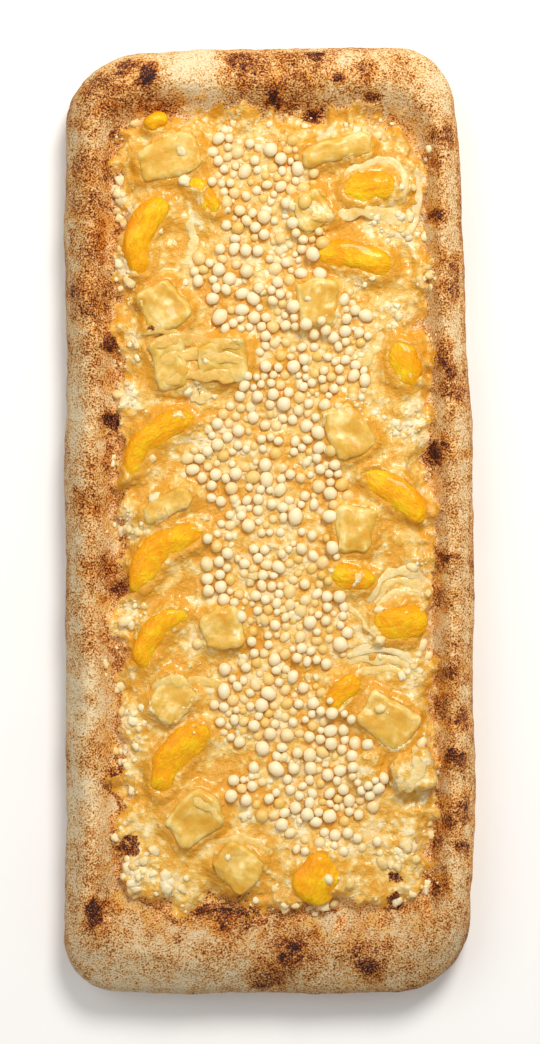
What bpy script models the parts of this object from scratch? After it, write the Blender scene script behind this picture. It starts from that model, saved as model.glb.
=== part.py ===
"""Rectangular sweet pizza: a baked crust, a melted topping with sugar pearls, peach slices and pineapple pieces.

The pizza lies flat on the table. X runs across it, Y along it and Z up. The origin is on the table, under the
middle of the crust. Sizes are written in millimetres and turned into metres as each mesh is finished.
"""

import math
import random

import bmesh
import bpy
from mathutils import Matrix, Vector, noise
from mathutils.bvhtree import BVHTree

MM = 0.001

# The crust's plan: the outer edge and the recess that holds the topping, as left, right, front and back.
OUTER_BOX = (-74.0, 74.4, -170.0, 170.2)
OUTER_CORNERS = {"left_back": 30.0, "right_back": 21.0, "left_front": 20.0, "right_front": 28.0}
RECESS_BOX = (-54.0, 58.0, -139.0, 143.5)
RECESS_CORNER = 17.0
RIM_WIDTH = 22.0
RIGHT_LEAN = 6.0
RIGHT_LEAN_FROM = -60.0
RIGHT_LEAN_SPAN = 194.0

# The crust's section: its side, as pairs of inset and height from the table up, then its rim and its floor.
SIDE_PROFILE = ((6.0, 0.0), (1.8, 2.2), (0.0, 9.0), (0.8, 15.0))
TOP_INSET = 3.4
SHOULDER_HEIGHT = 18.6
RIM_HEIGHT = 23.0
FLOOR_HEIGHT = 12.0
CREST_SHARE = 0.42

# The grid that the crust and the topping share: rings at shares of the rim's width, and cells inside the recess.
RING_SHARES = (0.0, 0.22, 0.46, 0.74)
TOPPING_RING = 3
RECESS_CELLS = (12, 30)

# Blisters that the oven raised and scorched, as x, y, radius and height.
BLISTERS = (
    (-49.0, 161.0, 6.5, 1.6),
    (-52.0, 152.0, 6.0, 1.0),
    (-13.0, 159.0, 7.0, 1.2),
    (0.5, 150.0, 5.0, 1.0),
    (14.0, 167.0, 7.0, 1.4),
    (15.0, 146.5, 6.0, 1.2),
    (37.0, 155.5, 5.0, 0.8),
    (64.0, 137.0, 6.5, 1.0),
    (60.0, 107.0, 5.0, 1.2),
    (64.5, 80.0, 7.0, 1.2),
    (62.0, 56.0, 6.5, 1.4),
    (60.5, 24.0, 6.0, 1.6),
    (62.5, -14.0, 6.5, 1.4),
    (65.5, -52.0, 7.0, 1.2),
    (67.0, -84.0, 6.0, 1.4),
    (69.0, -103.0, 6.5, 1.2),
    (61.0, -118.0, 6.5, 1.0),
    (45.5, -136.0, 6.0, 1.4),
    (37.0, -160.0, 7.5, 1.2),
    (6.0, -154.0, 8.5, 1.8),
    (-17.5, -139.0, 8.5, 1.6),
    (-51.5, -117.5, 6.5, 1.6),
    (-62.5, -140.0, 7.5, 1.6),
    (-56.0, -91.0, 5.0, 1.0),
    (-54.0, -26.0, 5.5, 1.2),
    (-56.0, 36.5, 6.0, 1.2),
    (-57.5, 64.5, 6.5, 1.6),
    (-67.0, 79.0, 6.0, 0.8),
)

# The melted topping: how thick it lies at its edge and inside, and how far from the recess's edge it is full.
TOPPING_EDGE = 0.9
TOPPING_DEPTH = 4.6
TOPPING_SWELL = 8.0
LUMP_HEIGHT = 0.8
PIECE_GAP = 0.4
SOCKET_GAP = 0.55

# Fruit, as x, y, turn in degrees, length and width. A peach slice adds the rise of its bow.
SEAT_HEIGHT = 14.0
SEAT_GAP = 1.2
FRUIT_HEIGHT = 8.0
PEACH_SLICES = (
    (-40.4, 142.6, 20, 9.5, 6.6, 0.4),
    (-43.2, 102.0, 71, 27.5, 12.0, 6.6),
    (-23.4, 116.4, -56, 17.0, 8.5, 1.2),
    (35.8, 119.4, 4, 20.5, 12.0, 1.0),
    (31.2, 93.4, -14, 30.0, 11.5, 3.2),
    (-40.2, 28.4, 42, 32.0, 10.5, 6.0),
    (47.4, 56.0, -72, 16.5, 12.5, 1.8),
    (44.6, 9.8, -39, 28.5, 11.5, 2.6),
    (-36.6, -12.6, 38, 32.5, 12.0, 8.2),
    (-38.8, -41.8, 52, 26.0, 10.0, 6.6),
    (-31.6, -85.4, 56, 29.0, 13.0, 6.0),
    (29.6, -20.6, -12, 16.5, 10.5, 1.0),
    (47.0, -37.2, 6, 19.5, 14.0, 1.6),
    (26.6, -61.6, 48, 16.0, 10.0, 1.0),
    (35.6, -87.4, 78, 14.0, 8.0, 1.0),
    (17.8, -128.0, 62, 20.0, 17.0, 0.6),
)
PINEAPPLE_PIECES = (
    (-36.8, 129.8, 20, 24.0, 15.2),
    (23.2, 132.6, 13, 26.0, 9.5),
    (15.0, 111.6, -60, 15.0, 13.5),
    (17.4, 77.4, 90, 17.5, 15.0),
    (-38.6, 77.4, -58, 18.0, 16.5),
    (-35.6, 55.6, 100, 20.0, 13.0),
    (-17.6, 57.6, 5, 19.0, 15.5),
    (-37.2, 5.4, 26, 19.0, 9.0),
    (27.6, 33.2, -62, 21.0, 15.5),
    (30.6, -3.6, 84, 17.5, 15.0),
    (-17.4, -38.6, 12, 16.0, 15.0),
    (-35.2, -64.6, 54, 17.0, 14.5),
    (41.8, -70.4, -34, 22.0, 16.0),
    (-27.4, -106.8, 42, 20.5, 16.0),
    (-12.0, -122.8, -40, 17.5, 15.5),
    (51.0, -89.6, 20, 16.0, 14.0),
)

# Sugar pearls: the trail that they were strewn along, as y, middle x and half width, from back to front.
PEARL_TRAIL = (
    (138.0, -2.0, 15.0),
    (108.0, -3.0, 17.0),
    (90.0, 0.0, 21.0),
    (72.0, 8.0, 22.0),
    (58.0, 16.0, 16.0),
    (26.0, 0.0, 23.0),
    (8.0, 0.0, 23.0),
    (-10.0, 1.0, 18.0),
    (-46.0, 1.0, 22.0),
    (-64.0, 2.0, 17.0),
    (-86.0, 12.0, 23.0),
    (-100.0, 14.0, 21.0),
    (-122.0, 20.0, 14.0),
)
PEARL_RADII = (1.4, 2.5)
PEARL_TRIES = 2600
PEARL_SPREAD = 0.56
PEARL_SPACING = 0.25
PEARL_RISE = 0.3
PEARL_SEED = 7
MOST_PEARLS = 110

# The finish of each kind of piece: colour, then roughness.
FINISHES = {
    "baked_crust": ((0.60, 0.36, 0.15, 1.0), 0.85),
    "melted_topping": ((0.85, 0.58, 0.24, 1.0), 0.35),
    "peach": ((0.92, 0.46, 0.02, 1.0), 0.28),
    "pineapple": ((0.90, 0.62, 0.17, 1.0), 0.28),
}


def clear_scene():
    for old in list(bpy.data.objects):
        bpy.data.objects.remove(old, do_unlink=True)


def new_collection(name):
    collection = bpy.data.collections.new(name)
    bpy.context.scene.collection.children.link(collection)
    return collection


def finish_material(name):
    colour, roughness = FINISHES[name]
    material = bpy.data.materials.new(name)
    material.use_nodes = True
    shader = material.node_tree.nodes["Principled BSDF"]
    shader.inputs["Base Color"].default_value = colour
    shader.inputs["Roughness"].default_value = roughness
    shader.inputs["Metallic"].default_value = 0.0
    return material


def mix(start, end, share):
    return start + (end - start) * share


def smoothstep(low, high, value):
    share = min(max((value - low) / (high - low), 0.0), 1.0)
    return share * share * (3.0 - 2.0 * share)


def ripple(x, y, size, layer):
    """Smooth noise from -1 to 1 whose bumps are about size millimetres across."""
    return noise.noise(Vector((x / size, y / size, layer)))


def along_ring(place, share, recess_size):
    """How far along a ring's side a grid line meets it, from -1 to 1, so that lines cross the rim squarely."""
    rim = 2.0 * RIM_WIDTH / recess_size
    reached = min(abs(place), 1.0) + max(abs(place) - 1.0, 0.0) * rim
    return math.copysign(reached / (1.0 + (1.0 - share) * rim), place)


def ring_point(across, along, inset):
    """A point of the plan, from its place on the shared grid, and its share of the way across the rim.

    Across and along are 2 at the outer edge and 1 at the recess's edge. The rings between the two are rounded
    boxes whose sides and corners pass evenly from the outer edge's to the recess's.
    """
    share = 2.0 - max(abs(across), abs(along), 1.0)
    outer = [side + inset if side < 0.0 else side - inset for side in OUTER_BOX]
    left, right, front, back = (mix(a, b, share) for a, b in zip(outer, RECESS_BOX))
    side = "left" if across < 0.0 else "right"
    end = "front" if along < 0.0 else "back"
    corner = mix(OUTER_CORNERS[f"{side}_{end}"] - inset, RECESS_CORNER, share)
    x = along_ring(across, share, RECESS_BOX[1] - RECESS_BOX[0]) * (right - left) / 2
    y = along_ring(along, share, RECESS_BOX[3] - RECESS_BOX[2]) * (back - front) / 2
    over_x = abs(x) - (right - left) / 2 + corner
    over_y = abs(y) - (back - front) / 2 + corner
    if over_x > 0.0 and over_y > 0.0:
        pull = 1.0 - max(over_x, over_y) / math.hypot(over_x, over_y)
        x -= math.copysign(over_x * pull, x)
        y -= math.copysign(over_y * pull, y)
    return x + (left + right) / 2, y + (front + back) / 2, share


def hand_shaped(x, y):
    """Moves a point of the plan the way stretching by hand leaves a dough: waves, and a right side that leans."""
    reach = max(abs(x) / OUTER_BOX[1], abs(y) / OUTER_BOX[3])
    hold = smoothstep(0.3, 1.0, reach)
    lean = RIGHT_LEAN * ((y - RIGHT_LEAN_FROM) / RIGHT_LEAN_SPAN) ** 2 * smoothstep(0.0, OUTER_BOX[1], x)
    wave_x = 1.3 * ripple(x, y, 42.0, 3.0) + 0.6 * ripple(x, y, 17.0, 5.0)
    wave_y = 1.5 * ripple(x, y, 38.0, 9.0) + 0.5 * ripple(x, y, 15.0, 11.0)
    return x - lean + wave_x * hold, y + wave_y * hold


def blister_rise(x, y):
    rise = 0.0
    for blister_x, blister_y, radius, height in BLISTERS:
        away = math.hypot(x - blister_x, y - blister_y) / radius
        rise += height * math.exp(-2.2 * away * away)
    return rise


def crust_height(x, y, share):
    """The height of the bread's top: shoulder, rim and inner slope, down to the flat floor at share 1."""
    if share < CREST_SHARE:
        height = mix(RIM_HEIGHT, SHOULDER_HEIGHT, (1.0 - share / CREST_SHARE) ** 2)
    else:
        turn = math.pi * (share - CREST_SHARE) / (1.0 - CREST_SHARE)
        height = mix(FLOOR_HEIGHT, RIM_HEIGHT, 0.5 * (1.0 + math.cos(turn)))
    relief = 1.2 * ripple(x, y, 24.0, 21.0) + 0.7 * ripple(x, y, 11.0, 23.0) + blister_rise(x, y)
    return height + relief * (1.0 - smoothstep(0.78, 0.97, share))


def topping_cover(x, y, share):
    """How thick the melted topping lies: thin where it climbs the rim, deep and lumpy over the floor."""
    left, right, front, back = RECESS_BOX
    from_edge = max(min(x - left, right - x, y - front, back - y), 0.0)
    climbed = (share - RING_SHARES[TOPPING_RING]) / (1.0 - RING_SHARES[TOPPING_RING])
    swell = smoothstep(0.0, 2.0, climbed + min(from_edge / TOPPING_SWELL, 1.0))
    lumps = LUMP_HEIGHT * (ripple(x, y, 15.0, 31.0) + 0.7 * ripple(x, y, 8.0, 33.0))
    return mix(TOPPING_EDGE, TOPPING_DEPTH + lumps, swell)


def make_node(name, bm, material, collection, smooth_angle=40.0):
    """Turns a bmesh drawn in millimetres into a named object in metres."""
    bmesh.ops.scale(bm, vec=(MM, MM, MM), verts=bm.verts)
    bmesh.ops.recalc_face_normals(bm, faces=bm.faces)
    mesh = bpy.data.meshes.new(name)
    bm.to_mesh(mesh)
    bm.free()
    mesh.shade_smooth()
    mesh.set_sharp_from_angle(angle=math.radians(smooth_angle))
    mesh.materials.append(material)
    node = bpy.data.objects.new(name, mesh)
    collection.objects.link(node)
    return node


def grid_lines(cells):
    """The places of the shared grid's lines in one direction, from -2 at one outer edge to 2 at the other."""
    rim = [2.0 - share for share in RING_SHARES]
    within = [mix(-1.0, 1.0, step / cells) for step in range(cells + 1)]
    return [-place for place in rim] + within + rim[::-1]


def shared_grid(skipped_rings):
    """The grid as a closed slab from z 0 to z 1, with x and y in ring places, without the outermost rings.

    Its cells are split from the corner nearest the middle, so that the upper and lower sides match everywhere.
    """
    lines = [grid_lines(cells)[skipped_rings:] for cells in RECESS_CELLS]
    lines = [places[: len(places) - skipped_rings] for places in lines]
    columns, rows = len(lines[0]) - 1, len(lines[1]) - 1
    bm = bmesh.new()
    bmesh.ops.create_grid(bm, x_segments=columns, y_segments=rows, size=1.0)
    for vert in bm.verts:
        column = round((vert.co.x + 1.0) / 2.0 * columns)
        row = round((vert.co.y + 1.0) / 2.0 * rows)
        vert.co = Vector((lines[0][column], lines[1][row], 1.0))
    for face in list(bm.faces):
        corners = sorted(face.verts, key=lambda vert: abs(vert.co.x) + abs(vert.co.y))
        bmesh.utils.face_split(face, corners[0], corners[-1])
    copied = bmesh.ops.extrude_face_region(bm, geom=list(bm.faces), use_keep_orig=True)
    lower = [item for item in copied["geom"] if isinstance(item, bmesh.types.BMVert)]
    bmesh.ops.translate(bm, vec=(0.0, 0.0, -1.0), verts=lower)
    return bm


def join_flat_faces(bm, heights):
    for height in heights:
        flat = [e for e in bm.edges if all(abs(v.co.z - height) < 0.001 for v in e.verts)]
        bmesh.ops.dissolve_limit(bm, angle_limit=math.radians(0.5), edges=flat, verts=[], delimit=set())


def make_crust(collection):
    bm = shared_grid(0)
    upright = [e for e in bm.edges if abs(e.verts[0].co.z - e.verts[1].co.z) > 0.5]
    bmesh.ops.subdivide_edges(bm, edges=upright, cuts=len(SIDE_PROFILE) - 1)
    for vert in bm.verts:
        level = round(vert.co.z * len(SIDE_PROFILE))
        on_top = level == len(SIDE_PROFILE)
        inset, height = (TOP_INSET, 0.0) if on_top else SIDE_PROFILE[level]
        x, y, share = ring_point(vert.co.x, vert.co.y, inset)
        if on_top:
            height = crust_height(x, y, share)
        vert.co = Vector((*hand_shaped(x, y), height))
    join_flat_faces(bm, (0.0, FLOOR_HEIGHT))
    return make_node("crust", bm, finish_material("baked_crust"), collection)


def make_topping(collection):
    """The melted topping, whose underside follows the bread's own faces."""
    bm = shared_grid(TOPPING_RING)
    for vert in bm.verts:
        x, y, share = ring_point(vert.co.x, vert.co.y, TOP_INSET)
        height = crust_height(x, y, share) + PIECE_GAP
        if vert.co.z > 0.5:
            height += topping_cover(x, y, share)
        vert.co = Vector((*hand_shaped(x, y), height))
    join_flat_faces(bm, (FLOOR_HEIGHT + PIECE_GAP,))
    return make_node("topping", bm, finish_material("melted_topping"), collection, 60.0)


def surface_tree(nodes):
    """One search tree over the surfaces of several objects."""
    bpy.context.view_layer.update()
    places, faces = [], []
    for node in nodes:
        offset = len(places)
        places.extend(node.matrix_world @ vert.co for vert in node.data.vertices)
        faces.extend([offset + index for index in face.vertices] for face in node.data.polygons)
    return BVHTree.FromPolygons(places, faces)


def height_on(surface, x, y):
    """The height in millimetres of a surface under a place, seen from above."""
    hit, _, _, _ = surface.ray_cast(Vector((x * MM, y * MM, 1.0)), Vector((0.0, 0.0, -1.0)))
    return hit.z / MM


def seat(piece, bread, x, y, turn):
    """Turns a piece of fruit, sets it down in the topping and keeps it clear of the bread."""
    piece.location = Vector((x, y, SEAT_HEIGHT + FRUIT_HEIGHT / 2)) * MM
    piece.rotation_euler.z = math.radians(turn)
    bpy.context.view_layer.update()
    lift = 0.0
    for vert in piece.data.vertices:
        place = piece.matrix_world @ vert.co / MM
        lift = max(lift, height_on(bread, place.x, place.y) + SEAT_GAP - place.z)
    piece.location.z += lift * MM


def peach_slice(length, width, bow):
    """A crescent of peach: thick and round on its skin side, thinner towards the stone, bowed along an arc."""
    bm = bmesh.new()
    bmesh.ops.create_uvsphere(bm, u_segments=8, v_segments=6, radius=1.0)
    chord = length / 2
    radius = (chord * chord + bow * bow) / (2.0 * bow)
    sweep = math.asin(chord / radius)
    for vert in bm.verts:
        across, up, along = vert.co
        blunt = math.sqrt(max(1.0 - abs(along) ** 3, 0.0) / max(1.0 - along * along, 1e-6))
        out = radius + across * blunt * width / 2
        thick = FRUIT_HEIGHT / 2 * (0.84 + 0.16 * across)
        angle = along * sweep
        vert.co = Vector((out * math.sin(angle), out * math.cos(angle) - radius + bow / 2, up * blunt * thick))
    return bm


def rounded(value, other, another):
    """Draws a cube's coordinate in where the two others are large, so that its edges and corners round off."""
    softness = 0.34
    a, b = other * other, another * another
    return value * math.sqrt(1.0 - softness * (a / 2 + b / 2 - a * b / 3))


def pineapple_piece(length, width):
    """A wedge cut from a pineapple ring: narrow towards the core, wide and curved outside, with soft edges."""
    bm = bmesh.new()
    bmesh.ops.create_cube(bm, size=2.0)
    bmesh.ops.subdivide_edges(bm, edges=bm.edges, cuts=2, use_grid_fill=True)
    for vert in bm.verts:
        a, b, c = vert.co
        along, across, up = rounded(a, b, c), rounded(b, a, c), rounded(c, a, b)
        bulge = 0.1 * (1.0 - across * across)
        vert.co = Vector(
            (
                (along + bulge) * length / 2,
                across * (1.0 + 0.16 * along) * width / 2,
                up * FRUIT_HEIGHT / 2,
            )
        )
    return bm


def make_fruit(collection, bread):
    """Every peach slice and pineapple piece, each its own node."""
    kinds = (
        ("peach_slice", peach_slice, PEACH_SLICES, finish_material("peach")),
        ("pineapple_piece", pineapple_piece, PINEAPPLE_PIECES, finish_material("pineapple")),
    )
    fruit = []
    for name, shape, rows, material in kinds:
        for number, (x, y, turn, *sizes) in enumerate(rows, start=1):
            piece = make_node(f"{name}_{number:02d}", shape(*sizes), material, collection)
            seat(piece, bread, x, y, turn)
            fruit.append(piece)
    return fruit


def connected(start):
    """Every vertex that can be reached from one vertex along the edges."""
    reached, waiting = {start}, [start]
    while waiting:
        for edge in waiting.pop().link_edges:
            for vert in edge.verts:
                if vert not in reached:
                    reached.add(vert)
                    waiting.append(vert)
    return reached


def keep_main_body(bm):
    """Drops loose scraps, and fills sealed hollows, by keeping only the largest connected surface."""
    left = set(bm.verts)
    bodies = []
    while left:
        bodies.append(connected(next(iter(left))))
        left -= bodies[-1]
    main_body = max(bodies, key=len)
    scraps = [vert for vert in bm.verts if vert not in main_body]
    bmesh.ops.delete(bm, geom=scraps, context="VERTS")


def apply_modifiers(node):
    """Keeps the shape that the node's modifiers make, without the scraps that a Boolean leaves."""
    graph = bpy.context.evaluated_depsgraph_get()
    shaped = bpy.data.meshes.new_from_object(node.evaluated_get(graph))
    node.modifiers.clear()
    node.data = shaped
    bm = bmesh.new()
    bm.from_mesh(shaped)
    keep_main_body(bm)
    bm.to_mesh(shaped)
    bm.free()


def remove_objects(collection):
    for helper in list(collection.objects):
        bpy.data.objects.remove(helper, do_unlink=True)
    bpy.data.collections.remove(collection)


def add_boolean(node, collection, operation):
    boolean = node.modifiers.new(operation.lower(), "BOOLEAN")
    boolean.operation = operation
    boolean.operand_type = "COLLECTION"
    boolean.collection = collection
    boolean.solver = "MANIFOLD"


def press_fruit_in(topping, fruit):
    """Cuts a socket in the topping for each piece of fruit, a little larger than the piece."""
    cutters = new_collection("fruit_sockets")
    for piece in fruit:
        bm = bmesh.new()
        bm.from_mesh(piece.data)
        for vert, outward in [(v, v.normal.copy()) for v in bm.verts]:
            vert.co += outward * SOCKET_GAP * MM
        mesh = bpy.data.meshes.new(f"socket_{piece.name}")
        bm.to_mesh(mesh)
        bm.free()
        cutter = bpy.data.objects.new(mesh.name, mesh)
        cutter.matrix_world = piece.matrix_world
        cutter.hide_render = True
        cutter.display_type = "WIRE"
        cutters.objects.link(cutter)
    add_boolean(topping, cutters, "DIFFERENCE")
    apply_modifiers(topping)
    remove_objects(cutters)


def pearl_trail(y):
    """The middle and half width of the pearls' trail at one place along the pizza."""
    for before, after in zip(PEARL_TRAIL, PEARL_TRAIL[1:]):
        if y >= after[0]:
            share = (before[0] - y) / (before[0] - after[0])
            return mix(before[1], after[1], share), mix(before[2], after[2], share)
    return PEARL_TRAIL[-1][1:]


def stays_clear(solid, place, radius):
    """Whether a ball lies outside a solid, with a gap between them."""
    nearest, outward, _, away = solid.find_nearest(place * MM)
    return (place * MM - nearest).dot(outward) > 0.0 and away > (radius + SOCKET_GAP) * MM


def strewn_pearls(surface, solids):
    """The pearls' places and radii, largest first: drawn along the trail, clear of each other and of the solids."""
    draw = random.Random(PEARL_SEED)
    pearls = []
    for _ in range(PEARL_TRIES):
        y = draw.uniform(PEARL_TRAIL[-1][0], PEARL_TRAIL[0][0])
        middle, half = pearl_trail(y)
        x = draw.gauss(middle, half * PEARL_SPREAD)
        radius = draw.uniform(*PEARL_RADII)
        place = Vector((x, y, height_on(surface, x, y) + radius * PEARL_RISE))
        crowded = any((place - other).length < radius + size + PEARL_SPACING for other, size in pearls)
        if not crowded and all(stays_clear(solid, place, radius) for solid in solids):
            pearls.append((place, radius))
    return sorted(pearls, key=lambda pearl: -pearl[1])


def fuse_pearls(topping, pearls):
    """Joins pearls to the topping that they lie on, in one union."""
    grains = new_collection("pearls")
    for number, (place, radius) in enumerate(pearls):
        bm = bmesh.new()
        bmesh.ops.create_icosphere(bm, subdivisions=1, radius=radius * MM)
        bmesh.ops.rotate(bm, matrix=Matrix.Rotation(number, 3, "Z"), verts=bm.verts)
        bmesh.ops.translate(bm, vec=place * MM, verts=bm.verts)
        mesh = bpy.data.meshes.new(f"pearl_{number}")
        bm.to_mesh(mesh)
        bm.free()
        grains.objects.link(bpy.data.objects.new(mesh.name, mesh))
    add_boolean(topping, grains, "UNION")
    apply_modifiers(topping)
    remove_objects(grains)


def centre_on_origin(crust, collection):
    """Moves the whole pizza, held by an empty, so that the middle of the crust is over the origin."""
    places = [vert.co for vert in crust.data.vertices]
    middle_x = (min(p.x for p in places) + max(p.x for p in places)) / 2
    middle_y = (min(p.y for p in places) + max(p.y for p in places)) / 2
    holder = bpy.data.objects.new("pizza_middle", None)
    holder.location = (-middle_x, -middle_y, 0.0)
    for node in list(collection.objects):
        node.parent = holder
    collection.objects.link(holder)


def main():
    clear_scene()
    pizza = new_collection("sweet_pizza")
    crust = make_crust(pizza)
    bread = surface_tree([crust])
    topping = make_topping(pizza)
    fruit = make_fruit(pizza, bread)
    pearls = strewn_pearls(surface_tree([topping]), [bread, surface_tree(fruit)])
    press_fruit_in(topping, fruit)
    fuse_pearls(topping, pearls[:MOST_PEARLS])
    centre_on_origin(crust, pizza)


main()
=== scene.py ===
"""The looks of a rectangular sweet pizza, laid out as an add-on and run as a script.

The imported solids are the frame. Every piece is drawn in plan millimetres, and turned into metres as its mesh
is finished. X runs across the pizza, Y along it and Z up.
"""

import math
import random

import bmesh
import bpy
from bpy.props import FloatProperty, FloatVectorProperty, IntProperty, PointerProperty
from mathutils import Matrix, Vector, noise
from mathutils.bvhtree import BVHTree


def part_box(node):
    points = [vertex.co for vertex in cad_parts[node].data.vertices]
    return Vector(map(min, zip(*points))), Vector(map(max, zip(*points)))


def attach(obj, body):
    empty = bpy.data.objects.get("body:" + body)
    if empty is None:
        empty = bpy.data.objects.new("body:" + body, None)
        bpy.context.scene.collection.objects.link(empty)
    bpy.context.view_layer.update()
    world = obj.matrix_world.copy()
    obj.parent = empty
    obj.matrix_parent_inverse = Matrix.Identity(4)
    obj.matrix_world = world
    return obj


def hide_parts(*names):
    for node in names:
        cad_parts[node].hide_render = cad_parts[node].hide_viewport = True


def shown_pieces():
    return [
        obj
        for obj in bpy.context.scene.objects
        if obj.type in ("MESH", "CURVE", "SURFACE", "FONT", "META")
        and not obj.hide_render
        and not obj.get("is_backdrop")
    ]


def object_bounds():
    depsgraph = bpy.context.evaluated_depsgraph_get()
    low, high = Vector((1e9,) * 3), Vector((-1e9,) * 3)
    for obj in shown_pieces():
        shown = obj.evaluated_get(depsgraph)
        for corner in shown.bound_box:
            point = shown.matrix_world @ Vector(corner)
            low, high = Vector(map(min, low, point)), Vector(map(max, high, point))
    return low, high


bl_info = {
    "name": "Sweet Pizza",
    "version": (1, 0, 0),
    "blender": (4, 5, 0),
    "location": "3D View > Sidebar > Pizza",
    "description": "Builds the crust, melted topping, fruit and sugar pearls of a rectangular sweet pizza",
    "category": "Add Mesh",
}

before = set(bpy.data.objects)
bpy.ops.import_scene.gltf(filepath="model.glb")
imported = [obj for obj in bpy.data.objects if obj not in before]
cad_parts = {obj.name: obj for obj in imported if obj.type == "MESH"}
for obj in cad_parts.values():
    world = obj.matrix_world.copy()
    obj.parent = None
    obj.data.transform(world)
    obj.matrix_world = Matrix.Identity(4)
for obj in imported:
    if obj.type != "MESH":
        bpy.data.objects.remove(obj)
CAD_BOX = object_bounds()

MM = 0.001

# Where the plan's origin lies in the frame, in millimetres.
PLAN_SHIFT = Vector((-0.01, -0.26, 0.0))

# The crust's plan and section, which are the solid's own.
OUTER_BOX = (-74.0, 74.4, -170.0, 170.2)
OUTER_CORNERS = {"left_back": 30.0, "right_back": 21.0, "left_front": 20.0, "right_front": 28.0}
RECESS_BOX = (-54.0, 58.0, -139.0, 143.5)
RECESS_CORNER = 17.0
RIM_WIDTH = 22.0
RIGHT_LEAN = 6.0
RIGHT_LEAN_FROM = -60.0
RIGHT_LEAN_SPAN = 194.0
SIDE_PROFILE = (
    (1.9, 17.3), (0.8, 15), (0.2, 12.2), (0, 9), (0.3, 6.2), (0.9, 4), (1.8, 2.2), (3.6, 0.8), (6, 0),
)
TOP_INSET = 3.4
SHOULDER_HEIGHT = 18.6
RIM_HEIGHT = 23.0
FLOOR_HEIGHT = 12.0
CREST_SHARE = 0.42

# Above this height the fine relief is held down, so that the crust keeps the solid's height.
SOFT_TOP = 23.8
TOP_SOFTENING = 0.6

# The topping's section.
TOPPING_SHARE = 0.52
TOPPING_EDGE = -1.9
SKIRT_DEPTH = 3.0
TOPPING_DEPTH = 4.6
TOPPING_SWELL = 8.0
TOPPING_REACH = 9.0
MARGIN_WIDTH = 7.0
LUMP_HEIGHT = 0.8
PIECE_GAP = 0.4
FRUIT_HEIGHT = 8.0
SOFT_EDGE = 2.6
FRUIT_TILT = 5.0

# Blisters that the oven raised, as x, y, radius and height.
BLISTERS = (
    (-49, 161, 6.5, 1.6), (-52, 152, 6, 1), (-13, 159, 7, 1.2), (0.5, 150, 5, 1), (14, 167, 7, 1.4),
    (15, 146.5, 6, 1.2), (37, 155.5, 5, 0.8), (64, 137, 6.5, 1), (60, 107, 5, 1.2), (64.5, 80, 7, 1.2),
    (62, 56, 6.5, 1.4), (60.5, 24, 6, 1.6), (62.5, -14, 6.5, 1.4), (65.5, -52, 7, 1.2), (67, -84, 6, 1.4),
    (69, -103, 6.5, 1.2), (61, -118, 6.5, 1), (45.5, -136, 6, 1.4), (37, -160, 7.5, 1.2), (6, -154, 8.5, 1.8),
    (-17.5, -139, 8.5, 1.6), (-51.5, -117.5, 6.5, 1.6), (-62.5, -140, 7.5, 1.6), (-56, -91, 5, 1),
    (-54, -26, 5.5, 1.2), (-56, 36.5, 6, 1.2), (-57.5, 64.5, 6.5, 1.6), (-67, 79, 6, 0.8),
)

# Browned spots, as x, y, radius and how far baked: 0.5 is golden, 0.75 brown and 1 charred.
BAKED_SPOTS = (
    (-43.7, 159, 4.8, 1), (-52, 162.5, 6.5, 0.78), (-59, 153, 11, 0.6), (-40, 152, 8, 0.56),
    (-11, 164, 6, 0.74), (-2, 160.5, 14, 0.6), (15.3, 168.3, 7, 0.8), (1.6, 150.3, 4.4, 1),
    (16, 146.7, 6, 0.9), (8, 155, 9, 0.62), (25, 157.9, 2.4, 0.92), (34.4, 160, 5, 0.72),
    (36.2, 151.4, 2.6, 0.85), (46.6, 162.2, 6, 0.58), (63.9, 138, 5.5, 0.76), (60.3, 128.7, 4, 0.72),
    (60.3, 109.3, 3.8, 0.92), (67.1, 90.2, 6, 0.76), (66.4, 83.7, 5, 0.76), (61, 58, 5, 0.74),
    (65.3, 53, 5, 0.78), (65.7, 46, 4.5, 0.7), (59.9, 24.3, 5, 1), (73, 25, 3.4, 0.78), (61, -13.1, 5, 0.86),
    (59.9, -25.7, 4.5, 0.72), (64.6, -53.8, 5.5, 0.74), (60.7, -66.8, 4.5, 0.7), (68.9, -70.4, 5, 0.74),
    (66.4, -84, 4.8, 0.88), (68.9, -102, 5, 0.76), (63.5, -107, 5, 0.74), (59.2, -116.8, 4.5, 0.84),
    (69, -116, 4.5, 0.76), (58.9, -130.9, 4.5, 0.8), (45.5, -136.6, 4.8, 0.98), (46.3, -127.3, 3.8, 0.88),
    (35.5, -159.3, 6, 0.8), (8.1, -152.8, 7.5, 0.86), (-1.3, -163, 6, 0.7), (-22.9, -139.5, 5.4, 0.98),
    (-13.5, -141.3, 6.5, 0.88), (-61.7, -139.5, 6.5, 0.9), (-49.9, -116.8, 5, 0.94), (-55.6, -90.5, 4, 0.82),
    (-59.9, -16, 5.5, 0.62), (-54.5, -25.7, 4.2, 0.94), (-65.3, 7, 5, 0.62), (-56.3, 35.5, 4.4, 0.88),
    (-56.7, 63.5, 4.4, 0.94), (-63.5, 79, 9, 0.66), (-72, 82, 5, 0.74), (-63.2, 98, 7, 0.58),
    (-64.3, 111, 7, 0.58), (-66.4, 125.5, 6, 0.66), (-41.9, 69, 3.6, 0.76),
)

# Floury patches that the oven left pale, as x, y, radius and strength.
FLOURED_PATCHES = (
    (-27, 161, 11, 1), (-22, 150, 8, 0.9), (-71, 40, 10, 0.7), (-71, -60, 14, 0.9), (-71, -100, 14, 0.8),
    (-50, -164, 14, 0.7), (-25, -160, 12, 0.5), (45, 164, 10, 0.6), (62, 152, 9, 0.7),
)

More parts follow.
